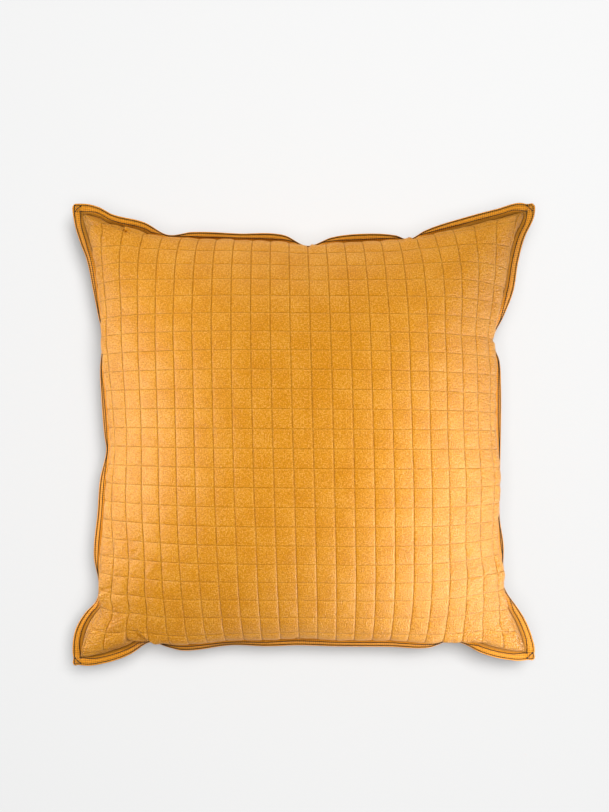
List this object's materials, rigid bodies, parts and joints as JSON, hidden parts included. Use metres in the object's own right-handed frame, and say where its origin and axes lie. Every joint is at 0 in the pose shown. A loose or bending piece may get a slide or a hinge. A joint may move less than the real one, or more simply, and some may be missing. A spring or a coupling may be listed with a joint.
{
  "type": "quilted throw cushion",
  "caption": "Square filled throw cushion with a crowned, grid-quilted face, drawn-in sides, pulled-out corners and a flat bound edge all round, lying on its plain back.",
  "frame": {"origin": "middle of the whole outline, on the surface that the cushion lies on", "axes": "+X to the right across the quilted face, +Y up the face, +Z out of the face"},
  "size_m": [0.4948, 0.4954, 0.1535],
  "materials": {
    "quilted_cotton": "washed matt cotton, mottled",
    "ribbed_binding": "matt cotton with fine cross ribs"
  },
  "bodies": {
    "root": {"cushion_body": "quilted_cotton", "flange_top": "ribbed_binding", "flange_right": "ribbed_binding", "flange_bottom": "ribbed_binding", "flange_left": "ribbed_binding"}
  },
  "joints": []
}
